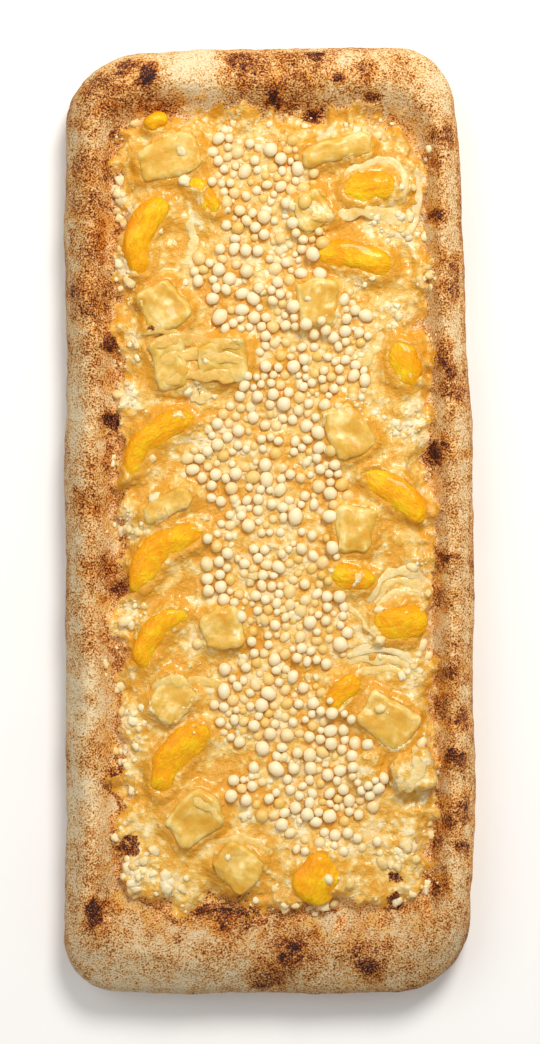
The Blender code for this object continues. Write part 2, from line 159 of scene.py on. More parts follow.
# Melted white cream and clear syrup on the topping, as x, y, radius and strength.
CREAM_PATCHES = (
    (-52, 112, 6, 0.9), (-51, 92, 7, 1), (-52, 45, 7, 1), (-52, 0, 7, 1), (-51, -35, 7, 1),
    (-50, -75, 8, 0.9), (-45, -125, 8, 1), (-36, -131, 6, 0.8), (46, -115, 9, 1), (50, -92, 8, 0.7),
    (52, -50, 6, 0.9), (36, -44, 7, 0.8), (50, 34, 8, 0.9), (44, 72, 8, 0.8), (38, 107, 6, 0.9),
    (50, 108, 6, 0.8), (34, 138, 6, 0.8), (2, 134, 5, 0.6), (-26, 46, 6, 0.9), (-20, 30, 8, 0.6),
    (10, -108, 9, 0.7),
)
SYRUP_POOLS = (
    (-14, 80, 10, 0.7), (6, 52, 9, 0.8), (-30, 42, 7, 0.9), (8, 24, 9, 0.8), (22, 16, 7, 0.8),
    (-16, 6, 8, 0.9), (-30, -24, 7, 0.9), (12, -58, 9, 0.8), (-10, -92, 9, 0.8), (24, -104, 7, 0.9),
    (8, 130, 7, 0.9), (20, 92, 8, 0.7), (44, 20, 6, 0.8), (-2, -132, 7, 0.9), (-28, 100, 6, 0.8),
)

# Fruit, as x, y, turn in degrees, length, width, the rise of a peach slice's bow, and how covered it is.
PEACH_SLICES = (
    (-40.4, 142.6, 20, 9.5, 6.6, 0.4, 0.15), (-43.2, 102, 71, 27.5, 12, 6.6, 0.15),
    (-23.4, 116.4, -56, 17, 8.5, 1.2, 0.35), (35.8, 119.4, 4, 20.5, 12, 1, 0.2),
    (31.2, 93.4, -14, 30, 11.5, 3.2, 0.1), (-40.2, 28.4, 42, 32, 10.5, 6, 0.15),
    (47.4, 56, -72, 16.5, 12.5, 1.8, 0.2), (44.6, 9.8, -39, 28.5, 11.5, 2.6, 0.05),
    (-36.6, -12.6, 38, 32.5, 12, 8.2, 0.1), (-38.8, -41.8, 52, 26, 10, 6.6, 0.2),
    (-31.6, -85.4, 56, 29, 13, 6, 0.2), (29.6, -20.6, -12, 16.5, 10.5, 1, 0.25),
    (47, -37.2, 6, 19.5, 14, 1.6, 0.05), (26.6, -61.6, 48, 16, 10, 1, 0.3), (35.6, -87.4, 78, 14, 8, 1, 0.7),
    (17.8, -128, 62, 20, 17, 0.6, 0),
)
PINEAPPLE_PIECES = (
    (-36.8, 129.8, 20, 24, 15.2, 0.05), (23.2, 132.6, 13, 26, 9.5, 0.2), (15, 111.6, -60, 15, 13.5, 0.4),
    (17.4, 77.4, 90, 17.5, 15, 0.2), (-38.6, 77.4, -58, 18, 16.5, 0.2), (-35.6, 55.6, 100, 20, 13, 0.15),
    (-17.6, 57.6, 5, 19, 15.5, 0.25), (-37.2, 5.4, 26, 19, 9, 0.25), (27.6, 33.2, -62, 21, 15.5, 0.2),
    (30.6, -3.6, 84, 17.5, 15, 0.1), (-17.4, -38.6, 12, 16, 15, 0.2), (-35.2, -64.6, 54, 17, 14.5, 0.35),
    (41.8, -70.4, -34, 22, 16, 0.1), (-27.4, -106.8, 42, 20.5, 16, 0), (-12, -122.8, -40, 17.5, 15.5, 0.2),
    (51, -89.6, 20, 16, 14, 0.7),
)

# The trail that the pearls were strewn along, as y, middle x and half width, from back to front.
PEARL_TRAIL = (
    (138, -2, 15), (108, -3, 17), (90, 0, 21), (72, 8, 22), (58, 16, 16), (26, 0, 23), (8, 0, 23),
    (-10, 1, 18), (-46, 1, 22), (-64, 2, 17), (-86, 12, 23), (-100, 14, 21), (-118, 22, 14),
)
PEARL_SPREAD = 0.56
PEARL_CLUSTERING = 0.7
COVERED_PEARLS = 0.3
PEARLS_ON_FRUIT = 0.12
PEARL_SEED = 7
CLUSTER_REACH = 0.96
LEAST_REACH = 0.93
MOST_TRIES = 90000
HALF_TURN = 3.14

# Strands and shreds of melted cream, as width, warmth of colour from 0 to 1, and the points that each passes.
MELTED_STRANDS = (
    (4, 0.25, (35.5, -29), (39, -22), (46, -17.5), (53, -19.5), (58, -24)),
    (3.6, 0.4, (37.5, -29), (42, -23), (48, -21), (55, -23.5)),
    (3, 0.35, (38, -31), (43, -26.5), (50, -25.5), (55, -27.5)),
    (2, 0.4, (26, -28.5), (33, -35), (38, -41.5)),
    (4.4, 0.2, (27, -48.5), (36, -45.5), (46, -46.5), (53, -51)),
    (4, 0.35, (28, -51.5), (38, -49), (47, -50.5), (54, -57)),
    (3.4, 0.45, (31, -55), (40, -52.5), (50, -55.5)),
    (4, 0.3, (26, 123), (33, 127.5), (43, 129.5), (47.5, 123), (48, 114)),
    (6.5, 0.35, (24, 110), (35, 112), (44, 109.5), (51.5, 107)),
    (3.4, 0.2, (52.5, 127), (53, 113), (49.5, 102)),
    (4, 0.5, (-29, -57.5), (-22, -57), (-15, -60.5)),
    (3.6, 0.45, (-42, -60), (-35, -57), (-27, -60)),
    (3.2, 0.6, (-46, 66.5), (-38, 68.5), (-30, 65), (-24, 67)),
    (5, 0.4, (-29.5, 46.5), (-25, 44.5), (-20, 45.5)),
    (4.4, 0.3, (-30, 107.5), (-27, 101), (-29.5, 95)),
    (4, 0.4, (33, 57), (38, 62), (40, 69)),
    (3.4, 0.5, (-28, 24), (-22, 21), (-16, 23)),
    (4.6, 0.3, (48, -96), (53, -89), (52, -80)),
    (3.2, 0.5, (-27, -98.5), (-21, -102), (-17, -109)),
    (4, 0.5, (-20, -116), (-8, -114), (0, -119)),
    (4.6, 0.75, (-44, 61), (-34, 65), (-22, 64.5), (-10, 62)),
    (4, 0.6, (-42, 56), (-30, 59.5), (-18, 59), (-8, 57)),
    (4.4, 0.7, (-39, 49.5), (-30, 52), (-20, 52.5), (-12, 51)),
)


# The studio: each lamp's name, place, watts, size and colour, the sky, and what the camera hangs over.
LAMPS = (
    ("key", (0.3, 0.8, 1.1), 14.3, 0.5, (1.0, 0.96, 0.9)),
    ("fill", (-0.7, 0.4, 1.1), 3.0, 0.9, (1.0, 1.0, 1.0)),
)
SKY_COLOUR = (1.0, 0.98, 0.95, 1.0)
SKY_STRENGTH = 0.46
CAMERA_LENS = 100.0
CAMERA_OVER = (0.0002, -0.0004, 0.012)


# Settings that a user would change.


def to_linear(level):
    level /= 255.0
    return level / 12.92 if level <= 0.04045 else ((level + 0.055) / 1.055) ** 2.4


def colour(name, description, *levels):
    """A colour setting, whose default is given as the red, green and blue of a screen, from 0 to 255."""
    return FloatVectorProperty(
        name=name,
        description=description,
        subtype="COLOR",
        size=3,
        min=0.0,
        max=1.0,
        default=[to_linear(level) for level in levels],
    )


def length(name, description, default):
    """A length setting in metres."""
    settings = {"min": 0.0, "unit": "LENGTH", "precision": 5}
    return FloatProperty(name=name, description=description, default=default, **settings)


def count(name, description, default):
    return IntProperty(name=name, description=description, default=default, min=0)


class PizzaColours(bpy.types.PropertyGroup):
    """The colours of the pizza's finishes."""

    flour: colour("Flour", "Flour dust on the pale bread", 242, 218, 174)
    bread: colour("Bread", "Pale baked bread", 232, 190, 128)
    golden: colour("Golden", "Golden bread", 212, 144, 66)
    brown: colour("Brown", "Browned bread", 160, 86, 30)
    scorched: colour("Scorched", "Scorched blisters", 92, 40, 24)
    charred: colour("Charred", "The darkest spots", 42, 16, 14)
    cream: colour("Cream", "White melted cream", 252, 232, 186)
    melt: colour("Melt", "The melted topping", 237, 196, 102)
    syrup: colour("Syrup", "Clear amber syrup", 227, 162, 42)
    peach: colour("Peach", "Peach flesh", 254, 176, 0)
    peach_deep: colour("Deep peach", "Peach flesh where it is thick", 248, 158, 0)
    peach_pale: colour("Pale peach", "Peach flesh near the stone", 255, 206, 16)
    pineapple: colour("Pineapple", "Pineapple flesh", 226, 182, 76)
    pineapple_deep: colour("Deep pineapple", "Pineapple flesh between its fibres", 220, 160, 46)
    pineapple_pale: colour("Pale pineapple", "Pineapple fibres", 246, 220, 146)
    pearl: colour("Pearl", "Sugar pearls", 250, 231, 190)
    floor: colour("Floor", "The studio floor", 250, 250, 250)


class PizzaSizes(bpy.types.PropertyGroup):
    """The sizes and numbers of the pizza's fine forms."""

    crust_step: length("Crust step", "How far apart the crust's points lie", 0.0008)
    topping_step: length("Topping step", "How far apart the topping's points lie", 0.0008)
    pearls: count("Pearls", "How many sugar pearls are strewn", 580)
    crumbs: count("Crumbs", "How many crumbs of cream lie on the margins", 700)
    smallest_pearl: length("Smallest pearl", "The radius of the smallest pearl", 0.0012)
    largest_pearl: length("Largest pearl", "The radius of the largest pearl", 0.0028)
    camera_distance: length("Camera distance", "How far above the crust the camera hangs", 1.044)


# Node-based finishes.


class Socket:
    """A number in a finish, which ordinary arithmetic joins with Math nodes."""

    def __init__(self, finish, socket):
        self.finish = finish
        self.socket = socket

    def joined(self, operation, *values):
        node = self.finish.node("ShaderNodeMath", {"operation": operation}, dict(enumerate(values)))
        return Socket(self.finish, node.outputs[0])

    def __add__(self, other):
        return self.joined("ADD", self, other)

    def __radd__(self, other):
        return self.joined("ADD", other, self)

    def __sub__(self, other):
        return self.joined("SUBTRACT", self, other)

    def __rsub__(self, other):
        return self.joined("SUBTRACT", other, self)

    def __mul__(self, other):
        return self.joined("MULTIPLY", self, other)

    def __rmul__(self, other):
        return self.joined("MULTIPLY", other, self)

    def limited(self):
        """The number held between 0 and 1."""
        node = self.finish.node("ShaderNodeClamp", {}, {"Value": self})
        return Socket(self.finish, node.outputs[0])

    def rising(self, low, high):
        """0 below low, 1 above high, and smooth between them."""
        node = self.finish.node(
            "ShaderNodeMapRange",
            {"interpolation_type": "SMOOTHSTEP"},
            {"Value": self, "From Min": low, "From Max": high},
        )
        return Socket(self.finish, node.outputs[0])


class Finish:
    """A material under construction, with its tree's nodes made by one method."""

    def __init__(self, name, scatter=0.0, reach=(1.0, 0.2, 0.1), **constants):
        """Scatter is the share of light that goes in, and reach how far its red, green and blue go."""
        constants |= {"Subsurface_Weight": scatter, "Subsurface_Radius": reach, "Subsurface_Scale": 1.0}
        self.material = bpy.data.materials.new(name)
        self.material.use_nodes = True
        self.tree = self.material.node_tree
        self.shader = self.tree.nodes["Principled BSDF"]
        for socket, value in constants.items():
            self.shader.inputs[socket.replace("_", " ")].default_value = value
        self.place = self.node("ShaderNodeTexCoord", {}, {}).outputs["Object"]

    def node(self, kind, settings, inputs):
        """Adds a node: its settings first, then each input's value or link."""
        node = self.tree.nodes.new(kind)
        for name, value in settings.items():
            if name == "stops":
                self.set_stops(node.color_ramp, value)
            else:
                setattr(node, name, value)
        for name, value in inputs.items():
            self.join(value, node.inputs[name])
        return node

    def join(self, value, socket):
        if isinstance(value, Socket):
            value = value.socket
        if isinstance(value, bpy.types.NodeSocket):
            self.tree.links.new(value, socket)
        elif socket.type == "RGBA" and len(value) == 3:
            socket.default_value = (*value, 1.0)
        else:
            socket.default_value = value

    def set_stops(self, ramp, stops):
        while len(ramp.elements) < len(stops):
            ramp.elements.new(1.0)
        for element, (place, shade) in zip(ramp.elements, stops):
            element.position = place
            element.color = (*shade, 1.0)

    def attribute(self, name):
        return Socket(self, self.node("ShaderNodeAttribute", {"attribute_name": name}, {}).outputs["Fac"])

    def attribute_vector(self, name):
        return self.node("ShaderNodeAttribute", {"attribute_name": name}, {}).outputs["Vector"]

    def stretched(self, place, *scale):
        return self.node("ShaderNodeMapping", {}, {"Vector": place, "Scale": scale}).outputs[0]

    def vectors(self, operation, *inputs):
        node = self.node("ShaderNodeVectorMath", {"operation": operation}, dict(enumerate(inputs)))
        return node.outputs[0]

    def moved(self, place, by, reach):
        """A place pushed about by a noise colour, for patterns that shouldn't run straight."""
        wander = self.node("ShaderNodeTexNoise", {}, {"Vector": place, "Scale": 1.0 / by, "Detail": 2.0})
        centred = self.vectors("SUBTRACT", wander.outputs["Color"], (0.5, 0.5, 0.5))
        return self.vectors("MULTIPLY_ADD", centred, (reach, reach, reach), place)

    def noise(self, size, detail=2.0, roughness=0.5, place=None):
        """Smooth noise from 0 to 1, with bumps about size metres across."""
        node = self.node(
            "ShaderNodeTexNoise",
            {},
            {"Vector": place or self.place, "Scale": 1.0 / size, "Detail": detail, "Roughness": roughness},
        )
        return Socket(self, node.outputs[0])

    def cells(self, size, place):
        """The distance from the nearest of many scattered points, in shares of their spacing."""
        node = self.node("ShaderNodeTexVoronoi", {}, {"Vector": place, "Scale": 1.0 / size})
        return Socket(self, node.outputs["Distance"])

    def mixed(self, share, first, second, blend="MIX"):
        """Two colours mixed by a share."""
        node = self.node(
            "ShaderNodeMix",
            {"data_type": "RGBA", "blend_type": blend},
            {"Factor": share, 6: first, 7: second},
        )
        return node.outputs[2]

    def ramped(self, share, stops):
        return self.node("ShaderNodeValToRGB", {"stops": stops}, {"Fac": share}).outputs["Color"]

    def bumped(self, height, distance, strength=1.0):
        node = self.node("ShaderNodeBump", {}, {"Height": height, "Distance": distance, "Strength": strength})
        self.join(node.outputs[0], self.shader.inputs["Normal"])

    def painted(self, **inputs):
        for name, value in inputs.items():
            self.join(value, self.shader.inputs[name.replace("_", " ")])
        return self.material


def bread_colour(finish, colours, baked, floured, soaked):
    """Bread from floury to charred, broken up by its grain, and golden where butter has soaked in."""
    grain = finish.noise(0.0006, 1.0, 0.5)
    specks = finish.noise(0.0018, 2.0, 0.6)
    blotches = finish.noise(0.006, 3.0, 0.6)
    level = baked + (grain - 0.5) * 1.6 + (specks - 0.5) * 0.5 + (blotches - 0.5) * 0.85 - floured * 0.26
    stops = (
        (0.08, colours.flour),
        (0.30, colours.bread),
        (0.50, colours.golden),
        (0.68, colours.brown),
        (0.86, colours.scorched),
        (1.0, colours.charred),
    )
    shade = finish.ramped(level.limited(), stops)
    shade = finish.mixed(grain.rising(0.45, 0.75) * 0.5, shade, (0.4, 0.36, 0.34), "MULTIPLY")
    return finish.mixed(soaked * (1.0 - floured), shade, (1.0, 0.78, 0.38), "MULTIPLY"), grain, specks


def crust_finish(colours):
    finish = Finish("baked_crust", Roughness=0.85, Specular_IOR_Level=0.25)
    baked = finish.attribute("baked")
    floured = finish.attribute("floured")
    shade, grain, specks = bread_colour(finish, colours, baked, floured, finish.attribute("soaked"))
    # Painted shade: the bread is darkened along the front and down the left side's outside.
    shade = finish.mixed(finish.attribute("dull"), shade, (0.69, 0.70, 0.74), "MULTIPLY")
    finish.bumped(grain * 0.6 + specks * 0.8, 0.0009, 0.8)
    return finish.painted(Base_Color=shade, Roughness=0.92 - baked * 0.25)


def topping_finish(colours):
    """Melted topping: amber syrup, pale melt and white cream, over bread at its edge."""
    surface = {"Coat_Roughness": 0.12, "Specular_IOR_Level": 0.3}
    finish = Finish("melted_topping", 0.2, (0.0014, 0.001, 0.0005), **surface)
    cream, syrup, edge, baked = map(finish.attribute, ("cream", "syrup", "edge", "baked"))
    swirl = finish.noise(0.008, 3.0, 0.6, finish.moved(finish.place, 0.014, 0.008))
    flecks = finish.noise(0.0024, 3.0, 0.68)
    granules = (1.0 - finish.cells(0.0026, finish.moved(finish.place, 0.004, 0.002)) * 1.7).limited()
    pale = swirl * 2.4 + (flecks - 0.5) * (0.8 + cream * 1.5) + cream * 0.36 - syrup * 0.5 - 1.0
    pale = (pale + granules * flecks.rising(0.4, 0.6) * 0.6).limited()
    base = finish.ramped(pale, ((0.0, colours.syrup), (0.35, colours.melt), (0.8, colours.cream)))
    bread, grain, _ = bread_colour(finish, colours, baked, cream, swirl.rising(0.42, 0.6) * 0.8)
    thin = (edge + (flecks - 0.5) * 1.6 + (baked - 0.6).rising(0.0, 0.2) * 0.8).rising(0.3, 0.75)
    shade = finish.mixed(thin, base, bread)
    finish.bumped(flecks * 0.9 + grain * 0.2 + swirl * 0.6 + granules * 0.5, 0.001, 0.8)
    wet = (1.0 - thin) * (1.0 - pale * 0.5)
    return finish.painted(Base_Color=shade, Roughness=0.62 - wet * 0.3, Coat_Weight=wet * 0.45)


def fibred(finish, size, roughness, wander, squeeze):
    """Fibres that run along a piece of fruit, from where each point lay before the piece was laid."""
    rest = finish.moved(finish.attribute_vector("rest"), *wander)
    return finish.noise(size, 3.0, roughness, finish.stretched(rest, squeeze, 1.0, 0.7))


def peach_finish(colours):
    surface = {"Coat_Weight": 0.25, "Coat_Roughness": 0.12, "Roughness": 0.42, "Specular_IOR_Level": 0.2}
    finish = Finish("peach", 0.4, (0.0035, 0.0016, 0.0002), **surface)
    fibres = fibred(finish, 0.0012, 0.7, (0.005, 0.004), 0.4)
    clouds = finish.noise(0.007, 2.0, 0.5)
    filmed, skin = map(finish.attribute, ("filmed", "tone"))
    flesh = finish.ramped(
        (fibres * 1.4 + clouds * 1.5 - 0.85 - skin.rising(0.6, 1.0) * 0.4).limited(),
        ((0.1, colours.peach_deep), (0.5, colours.peach), (0.95, colours.peach_pale)),
    )
    film = (filmed + (clouds - 0.5) * 1.3 + (fibres - 0.5) * 0.9).rising(0.55, 1.0)
    shade = finish.mixed(film * 0.3, flesh, colours.melt)
    finish.bumped(fibres + clouds * 0.8, 0.0011, 0.9)
    return finish.painted(Base_Color=shade)


def pineapple_finish(colours):
    surface = {"Coat_Weight": 0.25, "Coat_Roughness": 0.16, "Roughness": 0.42, "Specular_IOR_Level": 0.3}
    finish = Finish("pineapple", 0.5, (0.004, 0.0028, 0.001), **surface)
    fibres = fibred(finish, 0.0022, 0.6, (0.008, 0.005), 0.3)
    clouds = finish.noise(0.007, 3.0, 0.6)
    filmed, edges = map(finish.attribute, ("filmed", "tone"))
    flesh = finish.ramped(
        # A painted highlight: the flesh is painted paler along the piece's edges.
        (fibres * 0.7 + clouds * 2.2 - 0.95 + edges * 0.15).limited(),
        ((0.1, colours.pineapple_deep), (0.5, colours.pineapple), (0.95, colours.pineapple_pale)),
    )
    film = (filmed + (clouds - 0.5) * 1.8 + (fibres - 0.5) * 0.4).rising(0.35, 0.9)
    shade = finish.mixed(film * 0.6, flesh, colours.cream)
    finish.bumped(fibres * 0.7 + clouds, 0.0008, 0.6)
    return finish.painted(Base_Color=shade)


def pearl_finish(colours):
    finish = Finish("sugar_pearl", 0.2, (0.002, 0.0015, 0.0009), Roughness=0.45, Coat_Weight=0.15)
    low = finish.attribute("sunk")
    mottle = finish.noise(0.0016, 2.0, 0.5)
    # Pearls are tinted towards melt and syrup: all over where the melt covers them, and low on each pearl
    # partly by the melt it sits in and partly as painted shade where it meets the topping.
    shade = finish.ramped(
        (low + (mottle - 0.5) * 0.3).limited(),
        ((0.0, colours.pearl), (0.5, colours.melt), (1.0, colours.syrup)),
    )
    finish.bumped(mottle, 0.0004, 0.35)
    return finish.painted(Base_Color=shade)


def cream_finish(colours):
    finish = Finish("cream", 0.25, (0.002, 0.0014, 0.0008), Roughness=0.42, Coat_Weight=0.2)
    warm = finish.attribute("warm")
    mottle = finish.noise(0.0028, 3.0, 0.65)
    shade = finish.ramped(
        (warm + (mottle - 0.5) * 0.9).limited(),
        ((0.0, colours.cream), (0.5, colours.melt), (1.0, colours.pineapple_deep)),
    )
    finish.bumped(mottle, 0.0008, 0.7)
    return finish.painted(Base_Color=shade)


# Shapes that the solids and the fine pieces share.


def mix(start, end, share):
    return start + (end - start) * share


def smoothstep(low, high, value):
    share = min(max((value - low) / (high - low), 0.0), 1.0)
    return share * share * (3.0 - 2.0 * share)


def ripple(x, y, size, layer):
    """Smooth noise from -1 to 1 whose bumps are about size millimetres across."""
    return noise.noise(Vector((x / size, y / size, layer)))


def along_ring(place, share, recess_size):
    """How far along a ring's side a grid line meets it, from -1 to 1, to cross the rim squarely."""
    rim = 2.0 * RIM_WIDTH / recess_size
    reached = min(abs(place), 1.0) + max(abs(place) - 1.0, 0.0) * rim
    return math.copysign(reached / (1.0 + (1.0 - share) * rim), place)


def ring_point(across, along, inset):
    """A point of the plan, from its place on the shared grid, and its share of the way across the rim."""
    share = 2.0 - max(abs(across), abs(along), 1.0)
    outer = [side + inset if side < 0.0 else side - inset for side in OUTER_BOX]
    left, right, front, back = (mix(a, b, share) for a, b in zip(outer, RECESS_BOX))
    side = "left" if across < 0.0 else "right"
    end = "front" if along < 0.0 else "back"
    corner = mix(OUTER_CORNERS[f"{side}_{end}"] - inset, RECESS_CORNER, share)
    x = along_ring(across, share, RECESS_BOX[1] - RECESS_BOX[0]) * (right - left) / 2
    y = along_ring(along, share, RECESS_BOX[3] - RECESS_BOX[2]) * (back - front) / 2
    over_x = abs(x) - (right - left) / 2 + corner
    over_y = abs(y) - (back - front) / 2 + corner
    if over_x > 0.0 and over_y > 0.0:
        pull = 1.0 - max(over_x, over_y) / math.hypot(over_x, over_y)
        x -= math.copysign(over_x * pull, x)
        y -= math.copysign(over_y * pull, y)
    return x + (left + right) / 2, y + (front + back) / 2, share


def hand_shaped(x, y):
    """Moves a point of the plan the way stretching by hand leaves a dough."""
    reach = max(abs(x) / OUTER_BOX[1], abs(y) / OUTER_BOX[3])
    hold = smoothstep(0.3, 1.0, reach)
    lean = RIGHT_LEAN * ((y - RIGHT_LEAN_FROM) / RIGHT_LEAN_SPAN) ** 2 * smoothstep(0.0, OUTER_BOX[1], x)
    wave_x = 1.3 * ripple(x, y, 42.0, 3.0) + 0.6 * ripple(x, y, 17.0, 5.0)
    wave_y = 1.5 * ripple(x, y, 38.0, 9.0) + 0.5 * ripple(x, y, 15.0, 11.0)
    return x - lean + wave_x * hold, y + wave_y * hold


def blister_rise(x, y):
    rise = 0.0
    for blister_x, blister_y, radius, height in BLISTERS:
        if abs(x - blister_x) < 2 * radius and abs(y - blister_y) < 2 * radius:
            away = math.hypot(x - blister_x, y - blister_y) / radius
            rise += height * math.exp(-2.2 * away * away)
    return rise


def crust_height(x, y, share):
    """The height of the bread's top: shoulder, rim and inner slope, down to the flat floor at share 1."""
    if share < CREST_SHARE:
        height = mix(RIM_HEIGHT, SHOULDER_HEIGHT, (1.0 - share / CREST_SHARE) ** 2)
    else:
        turn = math.pi * (share - CREST_SHARE) / (1.0 - CREST_SHARE)
        height = mix(FLOOR_HEIGHT, RIM_HEIGHT, 0.5 * (1.0 + math.cos(turn)))
    relief = 1.2 * ripple(x, y, 24.0, 21.0) + 0.7 * ripple(x, y, 11.0, 23.0) + blister_rise(x, y)
    return height + relief * (1.0 - smoothstep(0.78, 0.97, share))


def inside_recess(x, y, share):
    """How far inside the recess's edge a place lies, and below 0 on the rim."""
    left, right, front, back = RECESS_BOX
    within = min(x - left, right - x, y - front, back - y)
    return min(within, (share - 1.0) * RIM_WIDTH) if share < 1.0 else within


def topping_cover(x, y, share):
    """How thick the melted topping lies, and how far it has swelled from its wandering edge, from 0 to 1."""
    wander = 8.0 * ripple(x, y, 13.0, 35.0) + 4.5 * ripple(x, y, 6.0, 37.0) + 2.0 * ripple(x, y, 2.6, 39.0)
    swell = smoothstep(-TOPPING_REACH, TOPPING_SWELL, inside_recess(x, y, share) + wander)
    lumps = LUMP_HEIGHT * (ripple(x, y, 15.0, 31.0) + 0.7 * ripple(x, y, 8.0, 33.0))
    banked = math.exp(-((inside_recess(x, y, share) / MARGIN_WIDTH) ** 2)) * swell
    heaps = 3.0 * ripple(x, y, 12.0, 36.0) + 2.0 * ripple(x, y, 5.0, 38.0)
    return mix(TOPPING_EDGE, TOPPING_DEPTH + lumps, swell) + banked * heaps, swell


def patch_strength(x, y, patches, layer, halo_strength=0.0):
    """The strongest of several uneven soft patches at a place, perhaps with a wider, weaker halo."""
    strongest = 0.0
    wander = None
    for patch_x, patch_y, radius, strength in patches:
        if abs(x - patch_x) > 3.0 * radius or abs(y - patch_y) > 3.0 * radius:
            continue
        if wander is None:
            wander = 0.6 * ripple(x, y, 5.0, layer) + 0.35 * ripple(x, y, 2.0, layer + 1.0)
        away = math.hypot(x - patch_x, y - patch_y) / radius + wander
        core = strength * (1.0 - smoothstep(0.3, 1.3, away))
        halo = min(strength, halo_strength) * (1.0 - smoothstep(0.5, 2.3, away))
        strongest = max(strongest, core, halo)
    return strongest


def plan_grid(first_share, step):
    """A flat grid in ring places, from a ring of the rim to the same ring of the far rim."""
    left, right, front, back = RECESS_BOX
    rim_lines = max(round(RIM_WIDTH * (1.0 - first_share) / step), 3)
    lines = []
    for size in (right - left, back - front):
        count = round(size / step)
        rim = [mix(2.0 - first_share, 1.0, step / rim_lines) for step in range(rim_lines)]
        within = [mix(-1.0, 1.0, step / count) for step in range(count + 1)]
        lines.append([-place for place in rim] + within + rim[::-1])
    bm = bmesh.new()
    columns, rows = len(lines[0]) - 1, len(lines[1]) - 1
    bmesh.ops.create_grid(bm, x_segments=columns, y_segments=rows, size=1.0)
    for vert in bm.verts:
        column = round((vert.co.x + 1.0) / 2.0 * columns)
        row = round((vert.co.y + 1.0) / 2.0 * rows)
        vert.co = Vector((lines[0][column], lines[1][row], 1.0))
    return bm


def extruded_edge(bm, edges):
    """Draws a mesh's open edge out once more, and returns its new vertices and edges."""
    drawn = bmesh.ops.extrude_edge_only(bm, edges=edges)["geom"]
    verts = [item for item in drawn if isinstance(item, bmesh.types.BMVert)]
    edges = [item for item in drawn if isinstance(item, bmesh.types.BMEdge)]
    return verts, [edge for edge in edges if edge.is_boundary]


def finish_piece(name, bm, material, nodes):
    """Turns a bmesh drawn in plan millimetres into a piece that replaces solids of the frame."""
    bmesh.ops.translate(bm, vec=PLAN_SHIFT, verts=bm.verts)
    bmesh.ops.scale(bm, vec=(MM, MM, MM), verts=bm.verts)
    bmesh.ops.recalc_face_normals(bm, faces=bm.faces)
    mesh = bpy.data.meshes.new(name)
    bm.to_mesh(mesh)
    bm.free()
    mesh.shade_smooth()
    mesh.materials.append(material)
    piece = bpy.data.objects.new(name, mesh)
    bpy.context.scene.collection.objects.link(piece)
    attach(piece, "root")
    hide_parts(*nodes)
    return piece


# The crust.


def crust_relief(x, y):
    """The bread's fine relief: wrinkles, small bubbles and crumb."""
    wrinkles = 0.35 * ripple(x, y, 5.0, 41.0) + 0.2 * ripple(x, y, 2.6, 43.0)
    crumb = 0.12 * ripple(x, y, 1.3, 45.0)
    return wrinkles + crumb


def baked_and_painted_light_level(x, y, share):
    """How far the bread is baked: more on the rim's crest and on the right, least on the left outer side, with
    painted light.
    """
    crest = math.exp(-(((share - 0.42) / 0.26) ** 2))
    side = smoothstep(-66.0, 66.0, x)
    # Painted light: the bread is painted paler towards the back.
    level = 0.30 - 0.01 * side + 0.14 * crest - 0.04 * smoothstep(120.0, 160.0, y)
    level += 0.16 * ripple(x, y, 13.0, 51.0) + 0.14 * ripple(x, y, 5.0, 53.0)
    level -= 0.06 * (1.0 - smoothstep(0.0, 0.35, share)) * (1.0 - side)
    # Painted light: the right's inner slope is painted paler against the shade that falls on it.
    level -= 0.1 * smoothstep(0.5, 0.8, share) * side
    return max(level, patch_strength(x, y, BAKED_SPOTS, 55.0, 0.6))


def soaked_level(x, y, share):
    """How far butter has soaked into the bread: in patches near the topping and round the spots."""
    patches = smoothstep(-0.12, 0.3, ripple(x, y, 7.0, 67.0) + 0.4 * ripple(x, y, 2.5, 69.0))
    spots = smoothstep(0.05, 0.5, patch_strength(x, y, BAKED_SPOTS, 55.0, 0.6))
    return min(0.85 * patches * smoothstep(0.4, 0.8, share) + 0.6 * patches * spots, 1.0)


def painted_shade_level(x, y, share):
    """How far painted shade darkens the bread: all along the front, and down the left side's outside."""
    outside = 1.0 - smoothstep(0.1, 0.6, share)
    return max(smoothstep(-118.0, -158.0, y), 0.9 * smoothstep(-48.0, -72.0, x) * outside)


